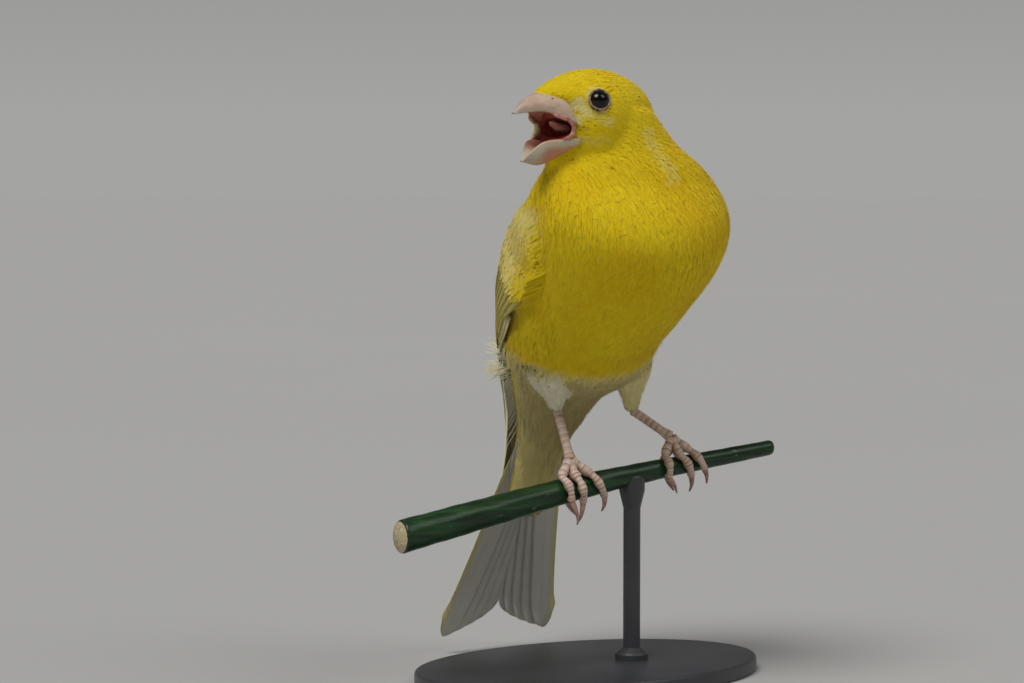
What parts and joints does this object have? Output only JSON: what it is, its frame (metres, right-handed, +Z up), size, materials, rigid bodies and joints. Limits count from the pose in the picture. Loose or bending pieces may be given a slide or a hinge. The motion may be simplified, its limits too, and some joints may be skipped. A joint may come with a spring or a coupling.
{
  "type": "canary on a perch",
  "caption": "Life-size still model of a singing yellow canary that grips a cut length of green cane on a plain display stand.",
  "frame": {"origin": "centre of the stand base's underside", "axes": "+Z up, the bird's body faces -Y, its left side is +X, its head is turned to its right, towards -X, and the perch runs along X"},
  "size_m": [0.0903, 0.072, 0.1263],
  "materials": {
    "head_feathers": "fine, short lemon-yellow feathers",
    "body_feathers": "soft, loose golden-yellow feathers, paler below",
    "wing_feathers": "whitish flight feathers with yellow outer edges",
    "tail_feathers": "whitish tail feathers with yellow outer edges",
    "thigh_feathers": "short whitish down",
    "bill_horn": "smooth pale pinkish horn",
    "mouth": "moist pinkish red",
    "eye": "glossy black",
    "leg_skin": "flesh-pink scaled skin",
    "claw_horn": "translucent brownish-pink horn",
    "cane_bark": "smooth dark green bark with paler streaks",
    "stand_enamel": "satin black enamel on steel"
  },
  "bodies": {
    "root": {"eye_left": "eye", "eye_right": "eye", "hallux_claw_left": "claw_horn", "hallux_claw_right": "claw_horn", "hallux_toe_left": "leg_skin", "hallux_toe_right": "leg_skin", "head": "head_feathers", "inner_claw_left": "claw_horn", "inner_claw_right": "claw_horn", "inner_toe_left": "leg_skin", "inner_toe_right": "leg_skin", "lower_bill": "bill_horn", "middle_claw_left": "claw_horn", "middle_claw_right": "claw_horn", "middle_toe_left": "leg_skin", "middle_toe_right": "leg_skin", "neck": "head_feathers", "outer_claw_left": "claw_horn", "outer_claw_right": "claw_horn", "outer_toe_left": "leg_skin", "outer_toe_right": "leg_skin", "perch": "cane_bark", "stand_base": "stand_enamel", "stand_rod": "stand_enamel", "tail": "tail_feathers", "tarsus_left": "leg_skin", "tarsus_right": "leg_skin", "thigh_left": "thigh_feathers", "thigh_right": "thigh_feathers", "tongue": "mouth", "torso": "body_feathers", "upper_bill": "bill_horn", "wing_left": "wing_feathers", "wing_right": "wing_feathers"}
  },
  "joints": []
}
